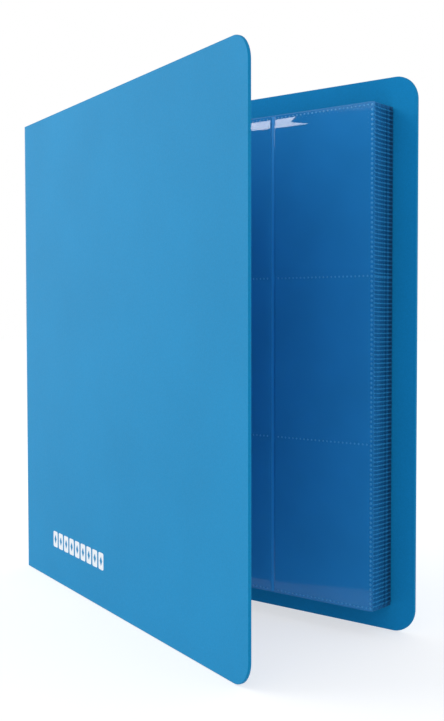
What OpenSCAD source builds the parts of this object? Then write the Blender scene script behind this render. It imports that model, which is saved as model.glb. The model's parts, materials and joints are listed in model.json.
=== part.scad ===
// Trading card binder, standing open on its bottom edges.
// A flexible plastic cover of three flat panels joined by two living hinges,
// and a block of pocket leaves whose roots are welded one to the next.
// Millimetres. +Z runs up the spine, +X runs from the spine to the free edges,
// the back cover faces +Y and the front cover swings out towards -Y.
// The origin is the middle of the bounding box on the plane it stands on.

/* [Cover] */
// Height of both covers and of the spine
cover_h = 318; // [316:1:360]
// Width of each cover, from its hinge axis to its free edge
cover_w = 306.2; // [304:0.1:340]
// Thickness of the cover sheet
sheet_t = 1.8; // [1.2:0.1:2]
// Radius of the outer corners of the covers
corner_r = 14.3; // [4:0.1:30]
// Distance between the two hinge axes, across the spine
spine_w = 26.4; // [26:0.1:34]
// Angle between the front cover and the back cover as it stands
open_angle = 19.6; // [15:0.1:40]
// Radius of the bead of thin material on each living hinge axis
hinge_bead_r = 0.8; // [0.4:0.05:0.8]
// Distance from a hinge axis to the edge of the panel beside it
hinge_gap = 1.2; // [1.2:0.05:1.6]

/* [Leaves] */
// Distance from one leaf to the next
leaf_pitch = 0.99; // [0.98:0.01:1.05]
// Distance from the inner face of the back cover to the middle of the last leaf
leaf_first_gap = 0.8; // [0.8:0.05:1.2]
// Thickness of the divider sheet of a leaf
divider_t = 0.16; // [0.12:0.01:0.2]
// Radius of the welded bead along the root of a leaf
root_bead_r = 0.45; // [0.3:0.05:0.45]
// Distance from the back hinge axis to the root bead of the leaves
root_x = 10; // [9:0.5:12]
// Distance from the back hinge axis to the fore edge of the leaves
leaf_x1 = 290.9; // [290.5:0.1:292]
// Plain margin of a leaf outside its outer weld lines
leaf_margin = 1.9; // [1.5:0.1:2.5]
// Radius of the outer corners of a leaf
leaf_corner_r = 3; // [1:0.5:5]

/* [Pockets] */
// Height of the lowest weld line above the bottom edge of the covers
weld_z0 = 16.6; // [15:0.1:18]
// Height of the lowest pocket, from weld line to weld line
bottom_row_h = 93; // [92:0.5:95]
// Height of the other pockets, from weld line to weld line
row_pitch = 95; // [93:0.5:95]
// Distance from one column of pockets to the next
col_pitch = 69.2; // [68:0.1:69.3]
// Gap between the film strips of two columns
film_gap = 2.4; // [1.5:0.1:3]
// Thickness of the clear film
film_t = 0.09; // [0.06:0.01:0.1]
// Depth of the empty pocket between the film and the divider
pocket_d = 0.12; // [0.08:0.01:0.12]
// Width of a weld line
weld_w = 1.2; // [0.8:0.1:2]

/* [Binding] */
// Width of the strip that carries the root of the leaves
binding_w = 13; // [10:0.5:16]
// Thickness of that strip
binding_t = 0.3; // [0.2:0.02:0.3]

/* [Hidden] */
leaf_n = 20;
rows = 3;
cols = 4;
eps = 0.01;
// Extent of the standing binder, used to centre the origin
x_lo = -sheet_t / 2;
x_hi = cover_w;
y_hi = sheet_t / 2;
y_lo = -spine_w - cover_w * sin(open_angle) - sheet_t / 2 * cos(open_angle);
shift = [-(x_lo + x_hi) / 2, -(y_lo + y_hi) / 2, 0];
// Fore edge weld line and pocket film edges
weld_x = leaf_x1 - leaf_margin;
film_x1 = leaf_x1 - 0.3;
// Heights of the weld lines, and the leaf that they divide
weld_z = [weld_z0, weld_z0 + bottom_row_h, weld_z0 + bottom_row_h + row_pitch,
    weld_z0 + bottom_row_h + 2 * row_pitch];
leaf_mid_z = (weld_z[0] + weld_z[rows]) / 2;
leaf_h = weld_z[rows] - weld_z[0] + 2 * leaf_margin;
film_h = leaf_h - 0.6;

// Flat panel in the XZ plane with its two outer corners rounded.
// It starts at x0 and its middle plane is y = 0.
module panel(x0, x1, h, t, r) {
    rotate([90, 0, 0]) linear_extrude(height = t, center = true) union() {
        translate([x0, 0]) square([x1 - r - x0, h]);
        translate([x0, r]) square([x1 - x0, h - 2 * r]);
        translate([x1 - r, r]) circle(r = r, $fn = 96);
        translate([x1 - r, h - r]) circle(r = r, $fn = 96);
    }
}

// Upright round bead on a hinge axis
module bead(r, z0, z1) {
    translate([0, 0, z0]) cylinder(r = r, h = z1 - z0, $fn = 32);
}

// Placing of the front cover: its frame starts on the front hinge axis
module at_front() {
    translate([0, -spine_w, 0]) rotate([0, 0, -open_angle]) children();
}

// Placing of leaf k, counted from the front cover
module at_leaf(k) {
    translate([0, -sheet_t / 2 - leaf_first_gap - (leaf_n - k) * leaf_pitch, leaf_mid_z]) children();
}

module back_cover() {
    color([0.08, 0.45, 0.68]) translate(shift)
        panel(hinge_gap, cover_w, cover_h, sheet_t, corner_r);
}

module front_cover() {
    color([0.22, 0.60, 0.81]) translate(shift) at_front()
        panel(hinge_gap, cover_w, cover_h, sheet_t, corner_r);
}

module spine_panel() {
    color([0.16, 0.53, 0.75]) translate(shift)
        translate([-sheet_t / 2, -spine_w + hinge_gap, 0])
            cube([sheet_t, spine_w - 2 * hinge_gap, cover_h]);
}

module back_living_hinge() {
    color([0.12, 0.48, 0.71]) translate(shift) bead(hinge_bead_r, 0, cover_h);
}

module front_living_hinge() {
    color([0.12, 0.48, 0.71]) translate(shift) translate([0, -spine_w, 0])
        bead(hinge_bead_r, 0, cover_h);
}

// Strip welded to the inner face of the back cover, under the root of the leaves
module binding_strip() {
    color([0.10, 0.38, 0.62]) translate(shift)
        translate([root_x - binding_w / 2, -sheet_t / 2 - binding_t, leaf_mid_z - leaf_h / 2])
            cube([binding_w, binding_t, leaf_h]);
}

// Divider sheet of one leaf, with the welded bead along its root
module leaf_sheet(k) {
    color([0.11, 0.40, 0.66]) translate(shift) at_leaf(k) union() {
        translate([0, 0, -leaf_h / 2])
            panel(root_x, leaf_x1, leaf_h, divider_t, leaf_corner_r);
        translate([root_x, 0, 0]) bead(root_bead_r, -leaf_h / 2, leaf_h / 2);
    }
}

// One strip of film with a column of pockets, lying on the plane y = 0 and rising
// to y = pocket_d + film_t. It runs from x0 to x1. Each pocket is open along x0.
module film_strip(x0, x1, side_weld) {
    difference() {
        translate([x0, 0, -film_h / 2]) cube([x1 - x0, pocket_d + film_t, film_h]);
        for (i = [0 : rows - 1])
            translate([x0 - 1, -1, weld_z[i] - leaf_mid_z + weld_w / 2])
                cube([x1 - x0 + 1 - side_weld, pocket_d + 1, weld_z[i + 1] - weld_z[i] - weld_w]);
    }
}

// All film strips of one leaf: a row of columns on each face of the divider
module leaf_pockets(k) {
    color([0.30, 0.56, 0.80]) translate(shift) at_leaf(k)
        for (side = [0, 1], c = [0 : cols - 1]) {
            x1 = c == 0 ? film_x1 : weld_x - c * col_pitch - film_gap / 2;
            x0 = weld_x - (c + 1) * col_pitch + film_gap / 2;
            mirror([0, 1 - side, 0]) translate([0, divider_t / 2, 0])
                film_strip(x0, x1, c == 0 ? film_x1 - weld_x + weld_w / 2 : 0.7);
        }
}

module leaf_01_sheet() { leaf_sheet(1); }
module leaf_01_pockets() { leaf_pockets(1); }
module leaf_02_sheet() { leaf_sheet(2); }
module leaf_02_pockets() { leaf_pockets(2); }
module leaf_03_sheet() { leaf_sheet(3); }
module leaf_03_pockets() { leaf_pockets(3); }
module leaf_04_sheet() { leaf_sheet(4); }
module leaf_04_pockets() { leaf_pockets(4); }
module leaf_05_sheet() { leaf_sheet(5); }
module leaf_05_pockets() { leaf_pockets(5); }
module leaf_06_sheet() { leaf_sheet(6); }
module leaf_06_pockets() { leaf_pockets(6); }
module leaf_07_sheet() { leaf_sheet(7); }
module leaf_07_pockets() { leaf_pockets(7); }
module leaf_08_sheet() { leaf_sheet(8); }
module leaf_08_pockets() { leaf_pockets(8); }
module leaf_09_sheet() { leaf_sheet(9); }
module leaf_09_pockets() { leaf_pockets(9); }
module leaf_10_sheet() { leaf_sheet(10); }
module leaf_10_pockets() { leaf_pockets(10); }
module leaf_11_sheet() { leaf_sheet(11); }
module leaf_11_pockets() { leaf_pockets(11); }
module leaf_12_sheet() { leaf_sheet(12); }
module leaf_12_pockets() { leaf_pockets(12); }
module leaf_13_sheet() { leaf_sheet(13); }
module leaf_13_pockets() { leaf_pockets(13); }
module leaf_14_sheet() { leaf_sheet(14); }
module leaf_14_pockets() { leaf_pockets(14); }
module leaf_15_sheet() { leaf_sheet(15); }
module leaf_15_pockets() { leaf_pockets(15); }
module leaf_16_sheet() { leaf_sheet(16); }
module leaf_16_pockets() { leaf_pockets(16); }
module leaf_17_sheet() { leaf_sheet(17); }
module leaf_17_pockets() { leaf_pockets(17); }
module leaf_18_sheet() { leaf_sheet(18); }
module leaf_18_pockets() { leaf_pockets(18); }
module leaf_19_sheet() { leaf_sheet(19); }
module leaf_19_pockets() { leaf_pockets(19); }
module leaf_20_sheet() { leaf_sheet(20); }
module leaf_20_pockets() { leaf_pockets(20); }

back_cover();
front_cover();
spine_panel();
back_living_hinge();
front_living_hinge();
binding_strip();
leaf_01_sheet();
leaf_01_pockets();
leaf_02_sheet();
leaf_02_pockets();
leaf_03_sheet();
leaf_03_pockets();
leaf_04_sheet();
leaf_04_pockets();
leaf_05_sheet();
leaf_05_pockets();
leaf_06_sheet();
leaf_06_pockets();
leaf_07_sheet();
leaf_07_pockets();
leaf_08_sheet();
leaf_08_pockets();
leaf_09_sheet();
leaf_09_pockets();
leaf_10_sheet();
leaf_10_pockets();
leaf_11_sheet();
leaf_11_pockets();
leaf_12_sheet();
leaf_12_pockets();
leaf_13_sheet();
leaf_13_pockets();
leaf_14_sheet();
leaf_14_pockets();
leaf_15_sheet();
leaf_15_pockets();
leaf_16_sheet();
leaf_16_pockets();
leaf_17_sheet();
leaf_17_pockets();
leaf_18_sheet();
leaf_18_pockets();
leaf_19_sheet();
leaf_19_pockets();
leaf_20_sheet();
leaf_20_pockets();
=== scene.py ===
import json
import math

import bmesh
import bpy
import numpy as np
from mathutils import Matrix, Vector


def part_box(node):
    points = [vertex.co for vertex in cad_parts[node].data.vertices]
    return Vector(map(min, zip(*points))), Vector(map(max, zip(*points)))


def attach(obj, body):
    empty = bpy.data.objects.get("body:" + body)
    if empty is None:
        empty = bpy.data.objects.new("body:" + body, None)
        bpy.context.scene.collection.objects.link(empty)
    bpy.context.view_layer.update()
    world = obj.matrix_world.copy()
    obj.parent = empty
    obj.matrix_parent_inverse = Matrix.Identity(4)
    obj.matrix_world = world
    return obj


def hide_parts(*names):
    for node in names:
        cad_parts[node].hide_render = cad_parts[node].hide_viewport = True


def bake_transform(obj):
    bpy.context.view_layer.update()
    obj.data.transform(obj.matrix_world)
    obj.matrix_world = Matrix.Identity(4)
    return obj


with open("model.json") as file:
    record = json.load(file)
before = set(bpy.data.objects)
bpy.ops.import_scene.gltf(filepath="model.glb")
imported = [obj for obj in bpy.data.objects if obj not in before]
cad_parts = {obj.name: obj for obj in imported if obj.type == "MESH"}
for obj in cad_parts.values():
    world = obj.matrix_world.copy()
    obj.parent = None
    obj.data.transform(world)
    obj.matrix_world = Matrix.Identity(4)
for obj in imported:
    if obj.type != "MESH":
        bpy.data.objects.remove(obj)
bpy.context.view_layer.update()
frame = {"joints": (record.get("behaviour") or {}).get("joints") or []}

MM = 0.001

# ---------------------------------------------------------------- facts of the frame
J = {j["name"]: j for j in frame["joints"]}
AB = np.array(J["back_cover_hinge"]["pos_m"][:2]) * 1000.0    # back hinge axis, mm
AF = np.array(J["front_cover_hinge"]["pos_m"][:2]) * 1000.0   # front hinge axis, mm
OPEN = math.radians(-J["front_cover_hinge"]["range_deg"][0])  # standing angle
bc_lo, bc_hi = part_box("back_cover")
T = (bc_hi.y - bc_lo.y) * 1000.0          # sheet thickness
H = (bc_hi.z - bc_lo.z) * 1000.0          # cover height
W = bc_hi.x * 1000.0 - AB[0]              # hinge axis to free edge
R_CORNER = 14.3
LEAVES = 20
lf_lo, lf_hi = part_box("leaf_01_sheet")
LEAF_X1 = lf_hi.x * 1000.0 - AB[0]        # fore edge, from the back hinge axis
LEAF_Z0, LEAF_Z1 = lf_lo.z * 1000.0, lf_hi.z * 1000.0
LEAF_MID = 0.5 * (LEAF_Z0 + LEAF_Z1)
ROOT_X = J["leaf_01_turn"]["pos_m"][0] * 1000.0 - AB[0]
LEAF_Y = {k: J["leaf_%02d_turn" % k]["pos_m"][1] * 1000.0 for k in range(1, LEAVES + 1)}
DIV_T = 0.16
FILM_T = 0.09
COL = 69.2
GAP = 2.4
MARGIN = 1.9                              # plain edge of a leaf outside its outer welds
WELD_X = LEAF_X1 - MARGIN
FILM_X1 = LEAF_X1 - 0.3
FILM_H2 = 0.5 * (LEAF_Z1 - LEAF_Z0) - 0.3
# heights of the weld lines, from the middle of the leaf
WZ = [LEAF_Z0 - LEAF_MID + MARGIN, LEAF_Z0 - LEAF_MID + MARGIN + 93.0, LEAF_Z1 - LEAF_MID - MARGIN - 95.0, LEAF_Z1 - LEAF_MID - MARGIN]


# ---------------------------------------------------------------- node helpers
def new_mat(name):
    m = bpy.data.materials.new(name)
    m.use_nodes = True
    nt = m.node_tree
    for n in list(nt.nodes):
        nt.nodes.remove(n)
    out = nt.nodes.new("ShaderNodeOutputMaterial")
    bsdf = nt.nodes.new("ShaderNodeBsdfPrincipled")
    nt.links.new(bsdf.outputs["BSDF"], out.inputs["Surface"])
    return m, nt, bsdf


def node(nt, kind, **inputs):
    n = nt.nodes.new(kind)
    for k, v in inputs.items():
        n.inputs[k.replace("_", " ")].default_value = v
    return n


def noise(nt, coord, scale, detail=2.0, rough=0.5):
    n = nt.nodes.new("ShaderNodeTexNoise")
    n.inputs["Scale"].default_value = scale
    n.inputs["Detail"].default_value = detail
    n.inputs["Roughness"].default_value = rough
    nt.links.new(coord, n.inputs["Vector"])
    return n.outputs["Fac"]


def remap(nt, value, a, b, lo, hi):
    n = nt.nodes.new("ShaderNodeMapRange")
    n.inputs["From Min"].default_value = a
    n.inputs["From Max"].default_value = b
    n.inputs["To Min"].default_value = lo
    n.inputs["To Max"].default_value = hi
    nt.links.new(value, n.inputs["Value"])
    return n.outputs["Result"]


def mix_colour(nt, fac, c1, c2):
    n = nt.nodes.new("ShaderNodeMix")
    n.data_type = "RGBA"
    nt.links.new(fac, n.inputs["Factor"])
    for sock, c in ((n.inputs["A"], c1), (n.inputs["B"], c2)):
        if isinstance(c, tuple):
            sock.default_value = (*c, 1.0)
        else:
            nt.links.new(c, sock)
    return n.outputs["Result"]


def bump(nt, height, strength, distance, normal=None):
    n = nt.nodes.new("ShaderNodeBump")
    n.inputs["Strength"].default_value = strength
    n.inputs["Distance"].default_value = distance
    nt.links.new(height, n.inputs["Height"])
    if normal is not None:
        nt.links.new(normal, n.inputs["Normal"])
    return n.outputs["Normal"]


def scaled(c, k):
    return tuple(min(1.0, v * k) for v in c)


def cover_material(name, colour, rough=0.64, grain=0.16, spec=0.18):
    """Extruded polypropylene sheet: coloured through, fine matte leather-free grain, faint clouding and rubbed spots."""
    m, nt, b = new_mat(name)
    tc = nt.nodes.new("ShaderNodeTexCoord").outputs["Object"]
    fine = noise(nt, tc, 2600.0, 3.0, 0.6)
    mid = noise(nt, tc, 700.0, 2.0, 0.5)
    cloud = noise(nt, tc, 14.0, 3.0, 0.5)
    speck = remap(nt, noise(nt, tc, 1500.0, 1.0, 0.4), 0.3, 0.7, 0.0, 1.0)
    base = mix_colour(nt, remap(nt, cloud, 0.3, 0.7, 0.0, 1.0), scaled(colour, 0.965), scaled(colour, 1.035))
    spk = nt.nodes.new("ShaderNodeMix"); spk.data_type = "RGBA"; spk.blend_type = "MULTIPLY"
    spk.inputs["Factor"].default_value = 0.08
    nt.links.new(base, spk.inputs["A"])
    nt.links.new(speck, spk.inputs["B"])
    nt.links.new(spk.outputs["Result"], b.inputs["Base Color"])
    nt.links.new(remap(nt, mid, 0.25, 0.75, rough - 0.05, rough + 0.06), b.inputs["Roughness"])
    n1 = bump(nt, mid, grain * 0.5, 0.00006)
    n2 = bump(nt, fine, grain, 0.00003, n1)
    nt.links.new(n2, b.inputs["Normal"])
    b.inputs["IOR"].default_value = 1.49
    b.inputs["Specular IOR Level"].default_value = spec
    return m


def edge_material(name, colour):
    """The cut edge of the sheet: smoother, with fine streaks along the cut."""
    m, nt, b = new_mat(name)
    tc = nt.nodes.new("ShaderNodeTexCoord").outputs["Object"]
    streak = noise(nt, tc, 900.0, 2.0, 0.5)
    nt.links.new(mix_colour(nt, remap(nt, streak, 0.3, 0.7, 0.0, 1.0), scaled(colour, 0.93), scaled(colour, 1.05)), b.inputs["Base Color"])
    nt.links.new(remap(nt, streak, 0.3, 0.7, 0.36, 0.5), b.inputs["Roughness"])
    nt.links.new(bump(nt, streak, 0.15, 0.00005), b.inputs["Normal"])
    b.inputs["IOR"].default_value = 1.49
    b.inputs["Specular IOR Level"].default_value = 0.08
    return m


def divider_material():
    m, nt, b = new_mat("divider_sheet_satin")
    tc = nt.nodes.new("ShaderNodeTexCoord").outputs["Object"]
    mp = nt.nodes.new("ShaderNodeMapping")
    mp.inputs["Scale"].default_value = (1.0, 1.0, 0.06)
    nt.links.new(tc, mp.inputs["Vector"])
    draw = noise(nt, mp.outputs["Vector"], 900.0, 2.0, 0.5)
    fine = noise(nt, tc, 2200.0, 2.0, 0.6)
    cloud = noise(nt, tc, 18.0, 2.0, 0.5)
    c = (0.028, 0.315, 0.72)
    nt.links.new(mix_colour(nt, remap(nt, cloud, 0.3, 0.7, 0.0, 1.0), scaled(c, 0.95), scaled(c, 1.05)), b.inputs["Base Color"])
    nt.links.new(remap(nt, fine, 0.3, 0.7, 0.40, 0.52), b.inputs["Roughness"])
    n1 = bump(nt, draw, 0.06, 0.00004)
    nt.links.new(bump(nt, fine, 0.12, 0.00002, n1), b.inputs["Normal"])
    b.inputs["IOR"].default_value = 1.49
    b.inputs["Specular IOR Level"].default_value = 0.2
    return m


def film_material():
    """Clear glossy film over the divider: a see-through skin with crisp reflections that waver slightly."""
    m, nt, b = new_mat("pocket_film_clear")
    tc = nt.nodes.new("ShaderNodeTexCoord").outputs["Object"]
    wave = noise(nt, tc, 32.0, 2.0, 0.45)
    fine = noise(nt, tc, 420.0, 2.0, 0.5)
    c = (0.026, 0.285, 0.67)
    nt.links.new(mix_colour(nt, remap(nt, wave, 0.3, 0.7, 0.0, 1.0), scaled(c, 0.96), scaled(c, 1.04)), b.inputs["Base Color"])
    nt.links.new(remap(nt, fine, 0.3, 0.7, 0.05, 0.10), b.inputs["Roughness"])
    n1 = bump(nt, wave, 0.05, 0.0006)
    nt.links.new(bump(nt, fine, 0.03, 0.00004, n1), b.inputs["Normal"])
    b.inputs["IOR"].default_value = 1.5
    b.inputs["Alpha"].default_value = 0.8
    return m


def weld_material(name="weld_frosted", c=(0.075, 0.255, 0.56), rough=0.42, spec=0.5):
    m, nt, b = new_mat(name)
    tc = nt.nodes.new("ShaderNodeTexCoord").outputs["Object"]
    fine = noise(nt, tc, 3000.0, 2.0, 0.5)
    nt.links.new(mix_colour(nt, remap(nt, fine, 0.3, 0.7, 0.0, 1.0), scaled(c, 0.85), scaled(c, 1.15)), b.inputs["Base Color"])
    nt.links.new(remap(nt, fine, 0.3, 0.7, rough - 0.08, rough + 0.08), b.inputs["Roughness"])
    nt.links.new(bump(nt, fine, 0.2, 0.00003), b.inputs["Normal"])
    b.inputs["IOR"].default_value = 1.5
    b.inputs["Specular IOR Level"].default_value = spec
    return m


def ink_material():
    m, nt, b = new_mat("white_print")
    tc = nt.nodes.new("ShaderNodeTexCoord").outputs["Object"]
    fine = noise(nt, tc, 2600.0, 3.0, 0.6)
    nt.links.new(mix_colour(nt, remap(nt, fine, 0.3, 0.7, 0.0, 1.0), (0.80, 0.84, 0.88), (0.90, 0.92, 0.94)), b.inputs["Base Color"])
    nt.links.new(remap(nt, fine, 0.3, 0.7, 0.45, 0.6), b.inputs["Roughness"])
    nt.links.new(bump(nt, fine, 0.12, 0.00003), b.inputs["Normal"])
    return m


PP = (0.009, 0.270, 0.550)
M_FRONT = cover_material("cover_front_matte", PP)
M_BACK = cover_material("cover_back_matte", PP)
# painted bounce light: the inner faces are the same sheet as the outer ones, coloured bluer for the blue light thrown
# between the covers; they are also rougher with less sheen
M_INNER_PAINTED_BOUNCE = cover_material("cover_inner_face", (0.008, 0.268, 0.588), rough=0.72, grain=0.10, spec=0.05)
M_EDGE = edge_material("cover_cut_edge", (0.004, 0.235, 0.48))
M_HINGE = cover_material("cover_hinge_line", scaled(PP, 0.93), rough=0.5, grain=0.08)
M_DIV = divider_material()
M_FILM = film_material()
M_WELD = weld_material("weld_frosted", (0.04, 0.33, 0.66), 0.45)
# painted light: the first leaf's cut edges take the lightest copy of the edge colour, lighter than the painted-shade
# steps, for the light its top edge catches
M_RIM_PAINTED_LIGHT = weld_material("film_cut_edge", (0.02, 0.225, 0.52), 0.45, 0.25)
# painted shade: the leaf edges and crimps get darker copies of one colour towards the back cover, for the shade that
# falls deep in the stack there
M_CRIMPS_PAINTED_SHADE = [weld_material("fore_edge_crimp_%d" % i, c, 0.5, 0.2) for i, c in enumerate(((0.018, 0.238, 0.535), (0.015, 0.215, 0.47), (0.010, 0.17, 0.38), (0.007, 0.125, 0.29)))]
M_RIMS_PAINTED_SHADE = [weld_material("leaf_cut_edge_%d" % i, c, 0.5, 0.2) for i, c in enumerate(((0.013, 0.195, 0.47), (0.009, 0.145, 0.365), (0.005, 0.09, 0.24), (0.004, 0.07, 0.185)))]
M_BIND = weld_material("binding_weld", (0.02, 0.16, 0.42), 0.45)
M_INK = ink_material()


# ---------------------------------------------------------------- mesh helpers
def obj_from(name, verts, faces, mats, face_mat=None, smooth=None):
    me = bpy.data.meshes.new(name)
    me.from_pydata([tuple(v) for v in (np.asarray(verts, float) * MM)], [], faces)
    for m in mats:
        me.materials.append(m)
    if face_mat is not None:
        me.polygons.foreach_set("material_index", np.asarray(face_mat, np.int32))
    if smooth is not None:
        me.polygons.foreach_set("use_smooth", np.asarray(smooth, bool))
    me.validate()
    me.update()
    bm = bmesh.new()
    bm.from_mesh(me)
    bmesh.ops.recalc_face_normals(bm, faces=bm.faces[:])
    bm.to_mesh(me)
    bm.free()
    o = bpy.data.objects.new(name, me)
    bpy.context.scene.collection.objects.link(o)
    return o


def outline(u0, u1, z0, z1, r, seg):
    """Rectangle with its two corners at u1 rounded, as (u, z) points, anticlockwise."""
    pts = [(u0, z0)]
    for i in range(seg + 1):
        a = -math.pi / 2 + math.pi / 2 * i / seg
        pts.append((u1 - r + r * math.cos(a), z0 + r + r * math.sin(a)))
    for i in range(seg + 1):
        a = math.pi / 2 * i / seg
        pts.append((u1 - r + r * math.cos(a), z1 - r + r * math.sin(a)))
    pts.append((u0, z1))
    return pts


def face_out(bm):
    """Turns every face of one closed solid outwards."""
    bmesh.ops.recalc_face_normals(bm, faces=bm.faces[:])
    if bm.calc_volume(signed=True) < 0:
        bmesh.ops.reverse_faces(bm, faces=bm.faces[:])


def cover_piece(name, axis, d_spine, d_cover, n_spine, n_cover, rho, spine_reach, mats):
    """One cover and its living hinge as one sheet. It is laid out flat as (s, z, n), with s the way along the sheet from the
    middle of the fold, cut across in the hinge, thinned there, and then bent round the hinge axis."""
    d_spine, d_cover, n_spine, n_cover = (np.array(v, float) for v in (d_spine, d_cover, n_spine, n_cover))
    phi = math.acos(max(-1, min(1, float(n_spine @ n_cover))))
    tan_l = rho * math.tan(phi / 2)
    half = rho * phi / 2
    s_end = W - tan_l + half
    s0 = -(spine_reach - tan_l + half)
    bm = bmesh.new()
    pts = outline(s0, s_end, 0.0, H, R_CORNER, 20)
    top = [bm.verts.new((u, z, T / 2)) for u, z in pts]
    bot = [bm.verts.new((u, z, -T / 2)) for u, z in pts]
    f_top = bm.faces.new(top)
    f_bot = bm.faces.new(list(reversed(bot)))
    n = len(pts)
    for i in range(n):
        k = (i + 1) % n
        bm.faces.new((top[k], top[i], bot[i], bot[k]))
    bm.normal_update()
    rim = [e for f in (f_top, f_bot) for e in f.edges
           if not (abs(e.verts[0].co.x - s0) < 1e-6 and abs(e.verts[1].co.x - s0) < 1e-6)]
    made = bmesh.ops.bevel(bm, geom=rim, offset=0.38, segments=3, profile=0.5, affect="EDGES", clamp_overlap=True)
    for s in np.concatenate([np.arange(s0 + 0.2, 3.4, 0.2), [4.5, 7.0, 12.0, 24.0, 60.0, 110.0, 160.0, 210.0, 255.0]]):
        bmesh.ops.bisect_plane(bm, geom=bm.verts[:] + bm.edges[:] + bm.faces[:], plane_co=(s, 0, 0), plane_no=(1, 0, 0), dist=1e-5)
    for z in (40.0, 100.0, 159.0, 218.0, 278.0):
        bmesh.ops.bisect_plane(bm, geom=bm.verts[:] + bm.edges[:] + bm.faces[:], plane_co=(0, z, 0), plane_no=(0, 1, 0), dist=1e-5)
    bmesh.ops.remove_doubles(bm, verts=bm.verts[:], dist=1e-4)
    bm.normal_update()
    flat = {}
    for f in bm.faces:
        c = f.calc_center_median()
        onface = abs(abs(c.z) - T / 2) < 1e-3
        if onface and c.x > 2.4:
            f.material_index, f.smooth = (0 if c.z > 0 else 3), True
        elif onface:
            f.material_index, f.smooth = 2, True
        else:
            f.material_index, f.smooth = 1, True
    # sharp only where the broad faces meet the bevel, so that shading stays flat on the broad faces
    for e in bm.edges:
        fs = e.link_faces
        if len(fs) == 2:
            a = [abs(abs(f.calc_center_median().z) - T / 2) < 1e-3 for f in fs]
            if a[0] != a[1]:
                e.smooth = False
    for v in bm.verts:
        s, z, nn = v.co
        k = min(1.0, max(0.0, (abs(s) - 0.75) / 1.5))
        k = k * k * (3 - 2 * k)
        # thinned to 0.85 mm in the fold, mostly from the inside
        t = (nn + T / 2) / T
        nn = (-T / 2 * k - 0.10 * (1 - k)) * (1 - t) + (T / 2 * k + 0.75 * (1 - k)) * t
        if s > half:
            p, nrm = axis + d_cover * (tan_l + s - half), n_cover
        elif s < -half:
            p, nrm = axis + d_spine * (tan_l - s - half), n_spine
        else:
            w = (s + half) / (2 * half)
            nrm = n_spine * math.sin((1 - w) * phi) / math.sin(phi) + n_cover * math.sin(w * phi) / math.sin(phi)
            nrm = nrm / np.linalg.norm(nrm)
            mid = (d_spine + d_cover) / np.linalg.norm(d_spine + d_cover)
            centre = axis + mid * (rho / math.cos(phi / 2))
            p = centre + nrm * rho
        q = p + nrm * nn
        v.co = Vector((q[0] * MM, q[1] * MM, z * MM))
    face_out(bm)
    me = bpy.data.meshes.new(name)
    bm.to_mesh(me)
    bm.free()
    for m in mats:
        me.materials.append(m)
    o = bpy.data.objects.new(name, me)
    bpy.context.scene.collection.objects.link(o)
    return o


ca, sa = math.cos(OPEN), math.sin(OPEN)
SPINE_REACH = 2.6
front = cover_piece("front_cover_sheet", AF, (0, 1), (ca, -sa), (-1, 0), (-sa, -ca), 0.65, SPINE_REACH, [M_FRONT, M_EDGE, M_HINGE, M_INNER_PAINTED_BOUNCE])
back = cover_piece("back_cover_sheet", AB, (0, -1), (1, 0), (-1, 0), (0, 1), 0.65, SPINE_REACH, [M_BACK, M_EDGE, M_HINGE, M_INNER_PAINTED_BOUNCE])
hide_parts("front_cover", "front_living_hinge")
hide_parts("back_cover", "back_living_hinge")
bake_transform(front)
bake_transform(back)


def spine_piece():
    """Flat spine between the two hinges, with soft top and bottom edges and a shallow pressed line along each side."""
    bm = bmesh.new()
    y0, y1 = AF[1] + SPINE_REACH, AB[1] - SPINE_REACH
    x = AB[0]
    res = bmesh.ops.create_cube(bm, size=1.0)
    for v in bm.verts:
        v.co = Vector((x + v.co.x * T, (y0 + y1) / 2 + v.co.y * (y1 - y0), H / 2 + v.co.z * H))
    rim = [e for e in bm.edges if abs(e.verts[0].co.z - e.verts[1].co.z) < 1e-6 and abs(e.verts[0].co.x - e.verts[1].co.x) < 1e-6]
    bmesh.ops.bevel(bm, geom=rim, offset=0.38, segments=3, profile=0.5, affect="EDGES")
    for d in (0.9, 1.15, 1.4, 1.65, 1.9):
        for y in (y0 + d, y1 - d):
            bmesh.ops.bisect_plane(bm, geom=bm.verts[:] + bm.edges[:] + bm.faces[:], plane_co=(0, y, 0), plane_no=(0, 1, 0), dist=1e-5)
    for f in bm.faces:
        c = f.calc_center_median()
        on = abs(abs(c.x - x) - T / 2) < 1e-3
        f.material_index = (0 if c.x < x else 2) if on else 1
        f.smooth = True
    for e in bm.edges:
        fs = e.link_faces
        if len(fs) == 2 and fs[0].material_index != fs[1].material_index:
            e.smooth = False
    for v in bm.verts:
        d = min(v.co.y - y0, y1 - v.co.y)
        dip = max(0.0, 1 - abs(d - 1.4) / 0.5)
        if v.co.x < x:
            v.co.x += 0.12 * dip * dip * (3 - 2 * dip)
    for v in bm.verts:
        v.co *= MM
    bmesh.ops.recalc_face_normals(bm, faces=bm.faces[:])
    me = bpy.data.meshes.new("spine_sheet")
    bm.to_mesh(me)
    bm.free()
    for m in (M_FRONT, M_EDGE, M_INNER_PAINTED_BOUNCE):
        me.materials.append(m)
    o = bpy.data.objects.new("spine_sheet", me)
    bpy.context.scene.collection.objects.link(o)
    return o


spine = spine_piece()
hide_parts("spine_panel")
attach(spine, "spine")


# ---------------------------------------------------------------- leaves
class Soup:
    """Collects closed pieces of mesh for one object."""

    def __init__(self):
        self.v, self.f, self.m, self.s, self.n = [], [], [], [], 0

    def add(self, verts, faces, mat, smooth):
        verts = np.asarray(verts, float)
        self.v.append(verts)
        self.f += [tuple(int(i) + self.n for i in f) for f in faces]
        self.m += [mat] * len(faces)
        self.s += [smooth] * len(faces)
        self.n += len(verts)

    def build(self, name, mats):
        return obj_from(name, np.concatenate(self.v), self.f, mats, self.m, self.s)


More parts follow.
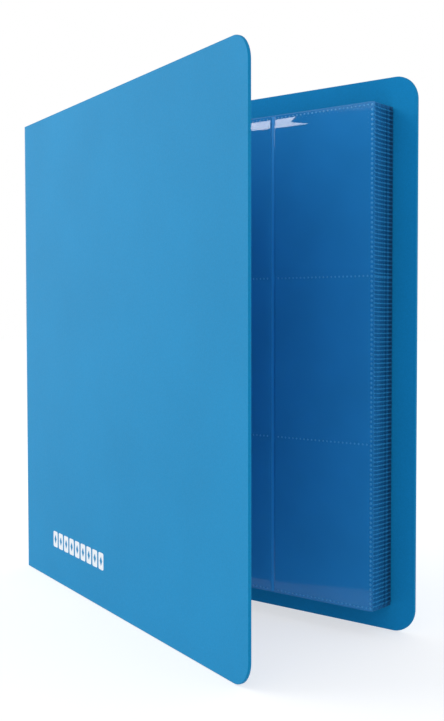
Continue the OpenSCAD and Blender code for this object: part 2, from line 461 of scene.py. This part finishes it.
def slab(soup, pts, y0, y1, mat, edge_mat=None):
    """A flat sheet with outline pts (x, z), from y0 to y1."""
    n = len(pts)
    v = [(x, y0, z) for x, z in pts] + [(x, y1, z) for x, z in pts]
    f = [((i + 1) % n, i, i + n, (i + 1) % n + n) for i in range(n)]
    if edge_mat is None:
        f += [tuple(range(n)), tuple(reversed(range(n, 2 * n)))]
        soup.add(v, f, mat, False)
        return
    # a 0.8 mm rim of the edge material on both faces
    cx, cz = (min(p[0] for p in pts) + max(p[0] for p in pts)) / 2, (min(p[1] for p in pts) + max(p[1] for p in pts)) / 2
    kx, kz = 1 - 0.8 / (max(p[0] for p in pts) - cx), 1 - 0.8 / (max(p[1] for p in pts) - cz)
    ins = [(cx + (x - cx) * kx, cz + (z - cz) * kz) for x, z in pts]
    v += [(x, y0, z) for x, z in ins] + [(x, y1, z) for x, z in ins]
    f += [(i, (i + 1) % n, 2 * n + (i + 1) % n, 2 * n + i) for i in range(n)]
    f += [(n + (i + 1) % n, n + i, 3 * n + i, 3 * n + (i + 1) % n) for i in range(n)]
    m0 = len(soup.m)
    soup.add(v, f + [tuple(range(2 * n, 3 * n)), tuple(reversed(range(3 * n, 4 * n)))], mat, False)
    soup.m[m0:m0 + 3 * n] = [edge_mat] * (3 * n)


OCT_V = np.array([(1, 0, 0), (-1, 0, 0), (0, 0, 1), (0, 0, -1), (0, 1, 0), (0, -1, 0)], float)
OCT_F = [(0, 4, 2), (2, 4, 1), (1, 4, 3), (3, 4, 0), (2, 5, 0), (1, 5, 2), (3, 5, 1), (0, 5, 3)]


BAR_V = np.array([(x * k, y, z * k) for y, k in ((-1.0, 0.55), (-0.72, 1.0), (0.72, 1.0), (1.0, 0.55)) for x, z in ((1, 0.62), (0.55, 1), (-1, 1), (-1, -1), (0.55, -1), (1, -0.62))])
BAR_F = [(k * 6 + i, k * 6 + (i + 1) % 6, (k + 1) * 6 + (i + 1) % 6, (k + 1) * 6 + i) for k in range(3) for i in range(6)] + [tuple(reversed(range(6))), tuple(range(18, 24))]


def dome(seg=8):
    v, f = [], []
    for r, h in ((1.0, -0.35), (1.0, 0.25), (0.62, 0.8)):
        for i in range(seg):
            a = 2 * math.pi * i / seg
            v.append((r * math.cos(a), h, r * math.sin(a)))
    v.append((0, 1.0, 0))
    for k in range(2):
        for i in range(seg):
            j = (i + 1) % seg
            f.append((k * seg + i, k * seg + j, (k + 1) * seg + j, (k + 1) * seg + i))
    for i in range(seg):
        f.append((2 * seg + i, 2 * seg + (i + 1) % seg, 3 * seg))
    f.append(tuple(reversed(range(seg))))
    return np.array(v, float), f


DOME_V, DOME_F = dome()


def ticks(soup, points, size, side, y, mat, fine):
    """Weld marks at points (x, z) standing on the plane y on that side. size is (x, height, z)."""
    V, F = (DOME_V, DOME_F) if fine else (OCT_V, OCT_F)
    for x, z in points:
        v = V * np.array(size) * np.array([1, side, 1]) + np.array([x, y, z])
        f = F if side > 0 else [tuple(reversed(q)) for q in F]
        soup.add(v, [tuple(reversed(q)) for q in f] if fine else f, mat, fine)


def smoothstep(a, b, x):
    t = np.clip((x - a) / (b - a), 0, 1)
    return t * t * (3 - 2 * t)


def film_strip(soup, x0, x1, weld1, side, amp, mat, edge_mat, fine=False):
    """One column of three pockets. The film lies on the divider along the welds and stands off it between them.
    amp(x, row) is how far, in mm. x0 is the open side. With fine, the film just below the top weld leans out as a loose
    front film does, see lean()."""
    ins = [0.0, 0.5, 1.2, 2.0, 3.0, 4.2, 5.6, 7.2, 10.0, 16.0, 28.0, 46.5]
    zs = [-FILM_H2, -FILM_H2 + 0.3, FILM_H2 - 0.3, FILM_H2]
    for r in range(3):
        zs += [WZ[r] + i for i in ins] + [WZ[r + 1] - i for i in ins]
    if fine:
        zs = [z for z in zs if not WZ[3] - 10.5 < z < WZ[3] - 0.01]
        zs += [WZ[3] - d for d in [0.3, 0.55, 0.8, 1.1, 1.5, 2.0, 2.4, 2.7] + [3.0 + 0.15 * i for i in range(24)] + [6.8, 7.5, 8.6, 10.2]]
    zs = np.array(sorted(set(np.round(zs, 4))))
    xs = [x0, x0 + 0.6, x0 + 2.5, x0 + 7, x0 + 14, x0 + 24, x0 + 34, x0 + 46, x1 - weld1 - 10, x1 - weld1 - 5, x1 - weld1 - 2, x1 - weld1 - 0.6, x1 - weld1, x1 - 0.3, x1]
    if fine:
        xs = [x for x in xs if not x0 + 0.7 < x < x0 + 40] + list(np.arange(x0 + 1.5, x0 + 40, 0.8)) + [x1 - weld1 - 1.2, x1 - weld1 - 0.25]
    xs = np.array(sorted(set(np.round(xs, 4))))
    X, Z = np.meshgrid(xs, zs, indexing="ij")
    row = (Z > WZ[1]).astype(int) + (Z > WZ[2])
    lo, hi = np.array(WZ)[row], np.array(WZ)[row + 1]
    edge = np.minimum(Z - lo, hi - Z)
    B = smoothstep(0.3, 4.5, edge) * 0.92 + 0.08 * smoothstep(4.5, 40.0, edge)
    A = smoothstep(0.0, 2.2, (x1 - weld1) - X)
    h = A * B * amp(X, row)
    if fine:
        d = hi - Z
        near = (row == 2) & (d < 45)
        L = lean(X, np.clip(d, 0, 45), x0) * smoothstep(0.0, 3.0 if x0 > 200 else 0.6, (x1 - weld1) - X)
        h = np.where(near, L + (h - L) * smoothstep(7.0, 45.0, d), h)
    base = DIV_T / 2 + 0.012
    outer = base + FILM_T + h
    inner = base + h
    nx, nz = X.shape
    v = np.concatenate([
        np.stack([X, side * outer, Z], -1).reshape(-1, 3),
        np.stack([X, side * inner, Z], -1).reshape(-1, 3)])
    N = nx * nz
    f, fe = [], []
    for i in range(nx - 1):
        for j in range(nz - 1):
            a, b, c, d = i * nz + j, (i + 1) * nz + j, (i + 1) * nz + j + 1, i * nz + j + 1
            q = (a, b, c, d) if side < 0 else (d, c, b, a)
            rim = j in (0, nz - 2) or i == nx - 2
            (fe if rim else f).append(q)
            (fe if rim else f).append(tuple(N + k for k in reversed(q)))
    ring = [i * nz for i in range(nx)] + [(nx - 1) * nz + j for j in range(1, nz)] + [i * nz + nz - 1 for i in range(nx - 2, -1, -1)] + [j for j in range(nz - 2, 0, -1)]
    flat = []
    for a, b in zip(ring, ring[1:] + ring[:1]):
        q = (b, a, N + a, N + b)
        flat.append(q if side < 0 else tuple(reversed(q)))
    soup.add(v, f, mat, True)
    soup.f += [tuple(int(i) + soup.n - len(v) for i in q) for q in fe + flat]
    soup.m += [edge_mat] * len(fe + flat)
    soup.s += [True] * len(fe) + [False] * len(flat)


PITCH = 2.72


def weld_points():
    zc = WZ
    n = int((WELD_X - 15.0) / PITCH)
    xs = [WELD_X - i * PITCH for i in range(1, n + 1)]
    gaps = [WELD_X - c * COL for c in (1, 2, 3)]
    xs = [x for x in xs if all(abs(x - g) > GAP / 2 + 0.5 for g in gaps)]
    m = int(WZ[3] / PITCH)
    vert = [(WELD_X, i * PITCH) for i in range(-m, m + 1)]
    horiz = {z: [(x, z) for x in xs] for z in zc}
    return vert, horiz


VERT, HORIZ = weld_points()


def leaf_films(name, fine, amp_front, amp_back):
    """All film of one leaf at y = 0. Side -1 faces the front cover."""
    soup = Soup()
    for side, amp in ((-1, amp_front), (1, amp_back)):
        for c in range(4):
            x1 = FILM_X1 if c == 0 else WELD_X - c * COL - GAP / 2
            x0 = WELD_X - (c + 1) * COL + GAP / 2
            film_strip(soup, x0, x1, (FILM_X1 - WELD_X + 0.6) if c == 0 else (0.15 if fine else 0.9), side, lambda X, r, c=c: amp(X, r, c), 0, 2, fine and side < 0)
        y = side * (DIV_T / 2 + 0.008 + FILM_T)
        good = fine and side < 0
        ticks(soup, VERT, (0.80, 0.13, 0.88), side, y, 1, good)
        for z, pts in HORIZ.items():
            outer = abs(z) > 100
            ticks(soup, pts, (0.62, 0.11, 0.56) if outer else (0.62, 0.11, 0.62), side, y, 1, good)
        if good:  # the finer inner row of the weld tool
            ticks(soup, [(x - 2.6, z + PITCH / 2) for x, z in VERT if abs(z) < WZ[3] - 3], (0.22, 0.05, 0.34), side, y, 1, False)
            for z, pts in HORIZ.items():
                o = -1.5 if z > 0 else 1.5
                ticks(soup, [(x + PITCH / 2, z + o) for x, z in pts], (0.26, 0.045, 0.2), side, y, 1, False)
    return soup


def leaf_sheet(name):
    """Divider with its fore edge crimps and the welded root bead, at y = 0."""
    soup = Soup()
    pts = outline(ROOT_X + 0.2, LEAF_X1, LEAF_Z0 - LEAF_MID, LEAF_Z1 - LEAF_MID, 3.0, 6)
    slab(soup, pts, -DIV_T / 2, DIV_T / 2, 0, 3)
    seg, r = 12, 0.45
    v, f = [], []
    z0, z1 = LEAF_Z0 - LEAF_MID, LEAF_Z1 - LEAF_MID
    rings = [(z0, r * 0.6), (z0 + 0.3, r), (z1 - 0.3, r), (z1, r * 0.6)]
    for z, rr in rings:
        for i in range(seg):
            a = 2 * math.pi * i / seg
            v.append((ROOT_X + rr * math.cos(a), rr * math.sin(a), z))
    for k in range(len(rings) - 1):
        for i in range(seg):
            j = (i + 1) % seg
            f.append((k * seg + i, k * seg + j, (k + 1) * seg + j, (k + 1) * seg + i))
    f.append(tuple(reversed(range(seg))))
    f.append(tuple(range((len(rings) - 1) * seg, len(rings) * seg)))
    soup.add(v, f, 1, True)
    m = int((z1 - 1.2) / 2.42)
    for i in range(-m, m + 1):
        soup.add(BAR_V * np.array([0.46, 0.40, 0.46]) + np.array([LEAF_X1 - 0.38, 0, i * 2.42]), BAR_F, 2, False)
    for z in WZ[1:3]:        # the pocket rows' welds run out to the fore edge
        soup.add(BAR_V * np.array([0.50, 0.43, 0.55]) + np.array([LEAF_X1 - 0.36, 0, z]), BAR_F, 2, False)
    m = int((z1 - 3) / PITCH)
    for i in range(-m, m + 1):
        soup.add(OCT_V * np.array([0.9, 0.2, 0.5]) + np.array([ROOT_X + 2.0, 0, i * PITCH]), OCT_F, 1, False)
    return soup


def lean(X, d, x0):
    """How far the loose front film of the first leaf stands off its divider, d mm below the top weld: it leans out at about
    four and a half degrees for the first 6 mm. In the outer pocket this dies away towards the outer weld, first in the middle of that
    band and last along its lower line."""
    dd = np.arange(0.0, 8.01, 0.1)
    out = np.zeros_like(X)
    if x0 > 200:
        reach = np.interp(dd, [0.0, 0.8, 1.9, 3.0, 3.7, 4.5, 5.1, 5.6, 6.2], [17.0, 15.8, 14.1, 12.3, 13.6, 16.8, 20.6, 24.6, 25.0]) + x0
    else:
        reach = np.full_like(dd, 1e3)
    along = smoothstep(0.35, 0.85, dd) * (1 - smoothstep(5.75, 6.15, dd))
    s = math.tan(math.radians(4.5)) * along[None, :] * (1 - smoothstep(-1.0, 1.0, X[:, 0][:, None] - reach[None, :]))
    H = np.concatenate([np.zeros((len(s), 1)), np.cumsum(0.5 * (s[:, 1:] + s[:, :-1]) * 0.1, axis=1)], axis=1)
    for i in range(len(X)):
        out[i] = np.interp(d[i], dd, H[i])
    return out


def amp_first(X, row, c):
    """The first leaf's front film, which has nothing pressing on it: lifted at the open side of each pocket, tighter at its outer weld."""
    if c == 0:
        return np.where(row == 2, 0.26 - 0.08 * smoothstep(225.0, 285.0, X), 0.20 - 0.05 * smoothstep(225.0, 285.0, X))
    return np.where(row == 2, 0.30, 0.20)


def amp_flat(X, row, c):
    return 0.12 + 0 * X


sheet_soup = leaf_sheet("leaf_sheet")
film_soup = leaf_films("leaf_film", False, amp_flat, amp_flat)
# four copies of each leaf mesh, one for each step of painted shade on the edges
shared_sheet = [sheet_soup.build("leaf_sheet_master_%d" % i, [M_DIV, M_WELD, M_CRIMPS_PAINTED_SHADE[i], M_RIMS_PAINTED_SHADE[i]]) for i in range(4)]
shared_film = [film_soup.build("leaf_film_master_%d" % i, [M_FILM, M_WELD, M_RIMS_PAINTED_SHADE[i]]) for i in range(4)]
first_sheet = sheet_soup.build("leaf_sheet_first", [M_DIV, M_WELD, M_CRIMPS_PAINTED_SHADE[0], M_RIM_PAINTED_LIGHT])
first_film = leaf_films("leaf_film_first", True, amp_first, amp_flat).build("leaf_film_first", [M_FILM, M_WELD, M_RIM_PAINTED_LIGHT])

rng = np.random.RandomState(7)
for k in range(1, LEAVES + 1):
    dx, dz = (0.0, 0.0) if k == 1 else (float(rng.uniform(-0.32, 0.08)), float(0.3 * math.exp((1 - k) / 4.0) - 0.3 + rng.uniform(-0.07, 0.07)))
    loc = Vector(((AB[0] + dx) * MM, LEAF_Y[k] * MM, (LEAF_MID + dz) * MM))
    # painted shade: the further back the leaf sits, the darker the edge colour it takes
    painted_shade_step = 0 if k <= 7 else 1 if k <= 12 or k in (15, 16) else 2 if k < 18 else 3
    s = bpy.data.objects.new("leaf_%02d_divider" % k, (first_sheet if k == 1 else shared_sheet[painted_shade_step]).data)
    p = bpy.data.objects.new("leaf_%02d_film" % k, (first_film if k == 1 else shared_film[painted_shade_step]).data)
    for o, cad, slot in ((s, "leaf_%02d_sheet" % k, "divider"), (p, "leaf_%02d_pockets" % k, "film")):
        bpy.context.scene.collection.objects.link(o)
        o.location = loc
        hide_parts(cad)
        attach(o, "leaf_%02d" % k)
for o in shared_sheet + shared_film + [first_sheet, first_film]:
    bpy.data.objects.remove(o)


def binding_piece():
    lo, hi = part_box("binding_strip")
    x0, x1, y0, y1, z0, z1 = (v * 1000 for v in (lo.x, hi.x, lo.y, hi.y, lo.z, hi.z))
    soup = Soup()
    pts = []
    r = 1.5
    for cx, cz, a0 in ((x1 - r, z0 + r, -90), (x1 - r, z1 - r, 0), (x0 + r, z1 - r, 90), (x0 + r, z0 + r, 180)):
        for i in range(6):
            a = math.radians(a0 + 90 * i / 5)
            pts.append((cx + r * math.cos(a), cz + r * math.sin(a)))
    slab(soup, pts, y0 + 0.1, y1 - 0.005, 0)
    n = int((z1 - z0 - 6) / 3.0)
    for i in range(n + 1):
        for j, x in enumerate((x0 + 1.8, x1 - 1.8)):
            soup.add(OCT_V * np.array([0.9, 0.17, 0.7]) + np.array([x, y0 + 0.1, z0 + 3 + i * 3.0 + 1.5 * j * 0]), OCT_F, 1, False)
    return soup.build("binding_strip_welded", [M_BIND, M_WELD])


bind = binding_piece()
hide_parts("binding_strip")
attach(bind, "back_cover")


# ---------------------------------------------------------------- generic print on the front cover
def print_mark():
    """A row of small card outlines in white, low on the front cover near the spine."""
    soup = Soup()
    def card(cx, cz, w, h, r, hw, hh, tilt):
        """A filled rounded card with a diamond hole, as two matching loops."""
        a, b = [], []
        for sx, sz, a0 in ((1, 1, 0), (-1, 1, 90), (-1, -1, 180), (1, -1, 270)):
            for i in range(6):
                t = math.radians(a0 + 90 * i / 5)
                a.append((sx * (w / 2 - r) + r * math.cos(t), sz * (h / 2 - r) + r * math.sin(t)))
                u = i / 5
                if a0 % 180 == 0:
                    b.append((sx * hw * (1 - u), sz * hh * u))
                else:
                    b.append((sx * hw * u, sz * hh * (1 - u)))
        c, d = math.cos(math.radians(tilt)), math.sin(math.radians(tilt))
        a = [(cx + x * c - z * d, cz + x * d + z * c) for x, z in a]
        b = [(cx + x * c - z * d, cz + x * d + z * c) for x, z in b]
        n = len(a)
        v = [(x, y, z) for y in (0.0, 0.03) for x, z in a] + [(x, y, z) for y in (0.0, 0.03) for x, z in b]
        A0, A1, B0, B1 = 0, n, 2 * n, 3 * n
        f = []
        for i in range(n):
            k = (i + 1) % n
            f += [(A1 + i, A1 + k, B1 + k, B1 + i), (A0 + k, A0 + i, B0 + i, B0 + k), (A0 + i, A0 + k, A1 + k, A1 + i), (B0 + k, B0 + i, B1 + i, B1 + k)]
        soup.add(v, f, 0, False)
    for i in range(9):
        card(54.5 + 9.55 * i, 29.0, 7.5, 10.8, 1.3, 1.9, 3.1, 0)
    o = soup.build("front_cover_print", [M_INK])
    # lay it on the outer face: local x along the cover, local y out of it
    for v in o.data.vertices:
        u, n, z = v.co.x * 1000, v.co.y * 1000, v.co.z * 1000
        q = AF + np.array([ca, -sa]) * u + np.array([-sa, -ca]) * (T / 2 + n - 0.002)
        v.co = Vector((q[0] * MM, q[1] * MM, z * MM))
    bm = bmesh.new(); bm.from_mesh(o.data)
    bmesh.ops.remove_doubles(bm, verts=bm.verts[:], dist=1e-6)
    bmesh.ops.recalc_face_normals(bm, faces=bm.faces[:])
    bm.to_mesh(o.data); bm.free()
    return o


mark = print_mark()
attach(mark, "front_cover")


# ---------------------------------------------------------------- floor, light, camera
def floor_material():
    """Pale matt table, lit a little from within like a light table, so that its shadows stay faint to look at."""
    m, nt, b = new_mat("floor_pale")
    tc = nt.nodes.new("ShaderNodeTexCoord").outputs["Object"]
    cloud = noise(nt, tc, 3.0, 2.0, 0.5)
    nt.links.new(mix_colour(nt, cloud, (0.49, 0.49, 0.49), (0.51, 0.51, 0.51)), b.inputs["Base Color"])
    b.inputs["Roughness"].default_value = 0.9
    b.inputs["Specular IOR Level"].default_value = 0.1
    b.inputs["Emission Color"].default_value = (1.0, 1.0, 1.0, 1.0)
    glow = nt.nodes.new("ShaderNodeMapRange")
    glow.inputs["To Min"].default_value = FLOOR_BOUNCE
    glow.inputs["To Max"].default_value = FLOOR_GLOW
    nt.links.new(nt.nodes.new("ShaderNodeLightPath").outputs["Is Camera Ray"], glow.inputs["Value"])
    nt.links.new(glow.outputs["Result"], b.inputs["Emission Strength"])
    return m


WORLD_LIGHT = (1.08, 0.66)               # at the horizon, overhead
FLOOR_GLOW, FLOOR_BOUNCE = 0.62, 0.34
me = bpy.data.meshes.new("floor")
me.from_pydata([(-6, -6, 0), (6, -6, 0), (6, 6, 0), (-6, 6, 0)], [], [(0, 1, 2, 3)])
me.materials.append(floor_material())
floor = bpy.data.objects.new("floor", me)
floor.location = (0, 0, -0.0002)
bpy.context.scene.collection.objects.link(floor)

world = bpy.data.worlds.new("studio")
bpy.context.scene.world = world
world.use_nodes = True
wt = world.node_tree
bg = wt.nodes["Background"]
path = wt.nodes.new("ShaderNodeLightPath")
tint = wt.nodes.new("ShaderNodeMix")            # white to look at, a little cool as a light
tint.data_type = "RGBA"
tint.inputs["A"].default_value = (0.95, 1.0, 1.06, 1.0)
tint.inputs["B"].default_value = (1.0, 1.0, 1.0, 1.0)
wt.links.new(path.outputs["Is Camera Ray"], tint.inputs["Factor"])
wt.links.new(tint.outputs["Result"], bg.inputs["Color"])
up = wt.nodes.new("ShaderNodeSeparateXYZ")
wt.links.new(wt.nodes.new("ShaderNodeTexCoord").outputs["Generated"], up.inputs["Vector"])
sky = wt.nodes.new("ShaderNodeMapRange")       # brighter at the horizon than overhead
sky.inputs["To Min"].default_value = WORLD_LIGHT[0]
sky.inputs["To Max"].default_value = WORLD_LIGHT[1]
wt.links.new(up.outputs["Z"], sky.inputs["Value"])
seen = wt.nodes.new("ShaderNodeMapRange")      # a white backdrop to look at, softer as a light
wt.links.new(sky.outputs["Result"], seen.inputs["To Min"])
seen.inputs["To Max"].default_value = 1.0
wt.links.new(path.outputs["Is Camera Ray"], seen.inputs["Value"])
wt.links.new(seen.outputs["Result"], bg.inputs["Strength"])


def area(name, loc, target, sx, sy, radiance, colour=(1, 1, 1)):
    """Softbox at loc facing target, sx by sy metres, as bright as radiance where it is looked at."""
    l = bpy.data.lights.new(name, "AREA")
    l.shape = "RECTANGLE"
    l.size, l.size_y = sx, sy
    l.energy = radiance * math.pi * sx * sy
    l.color = colour
    o = bpy.data.objects.new(name, l)
    bpy.context.scene.collection.objects.link(o)
    o.location = loc
    o.rotation_mode = "QUATERNION"
    o.rotation_quaternion = (Vector(target) - Vector(loc)).to_track_quat("-Z", "Y")
    return o


# the softbox that shows in the film over the front cover's top edge; it is there for its reflection only
strip = area("strip_softbox", (-0.97, -1.36, 0.88), (0.08, 0.04, 0.28), 0.65, 0.18, 10.2, (1.0, 0.99, 0.95))
strip.visible_diffuse = False
# a weaker one further round to the left, for the sheen towards the spine
area("side_softbox", (-1.30, -0.05, 0.35), (-0.10, 0.0, 0.18), 0.5, 0.8, 0.9)
# the large soft fill that lights the front cover and the spine from the left
area("fill_softbox", (-0.95, -0.62, 0.95), (-0.05, -0.04, 0.25), 0.8, 0.8, 2.8, (1.0, 0.95, 0.85))

cam_data = bpy.data.cameras.new("camera")
cam = bpy.data.objects.new("camera", cam_data)
bpy.context.scene.collection.objects.link(cam)
cam_data.sensor_width = 36.0
cam_data.lens = 1043.454 * 36.0 / 721.0
cam_data.shift_x = (222.0 - 262.16) / 721.0
cam_data.shift_y = -(360.5 - 358.40) / 721.0
cam_data.clip_start, cam_data.clip_end = 0.01, 50
cam.location = ((599.73 + AB[0]) * MM, (-519.62 + AB[1]) * MM, 182.34 * MM)
cam.rotation_euler = (math.radians(90 - 2.3411), 0, math.radians(37.8897))
bpy.context.scene.camera = cam
bpy.context.scene.view_settings.view_transform = "Standard"
bpy.context.scene.view_settings.look = "None"
